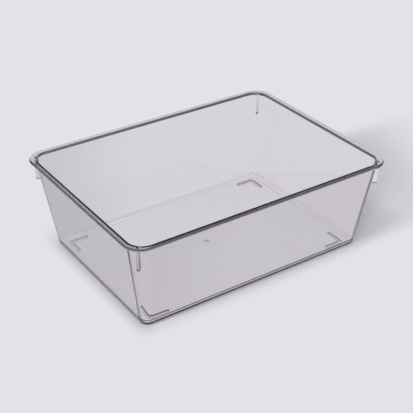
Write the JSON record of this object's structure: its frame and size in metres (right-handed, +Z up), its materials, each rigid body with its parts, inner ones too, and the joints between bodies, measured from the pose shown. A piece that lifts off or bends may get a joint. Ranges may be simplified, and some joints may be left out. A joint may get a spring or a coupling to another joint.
{
  "type": "storage box",
  "caption": "Open-topped clear smoky-grey plastic organiser tub with leaning walls, a flat outward rim flange, nesting-stop fins at its corners and L-shaped foot pads.",
  "frame": {"origin": "on the table, under the middle of the box", "axes": "+X along the box's length, +Y across its width, +Z up through the open top"},
  "size_m": [0.301, 0.2206, 0.1015],
  "materials": {
    "smoky_clear_plastic": "clear, smoky grey, polished",
    "pad_clear_plastic": "clear, slightly darker and warmer, satin"
  },
  "bodies": {
    "root": {"tub": "smoky_clear_plastic", "foot_front_left": "pad_clear_plastic", "foot_front_right": "pad_clear_plastic", "foot_back_left": "pad_clear_plastic", "foot_back_right": "pad_clear_plastic"}
  },
  "joints": []
}
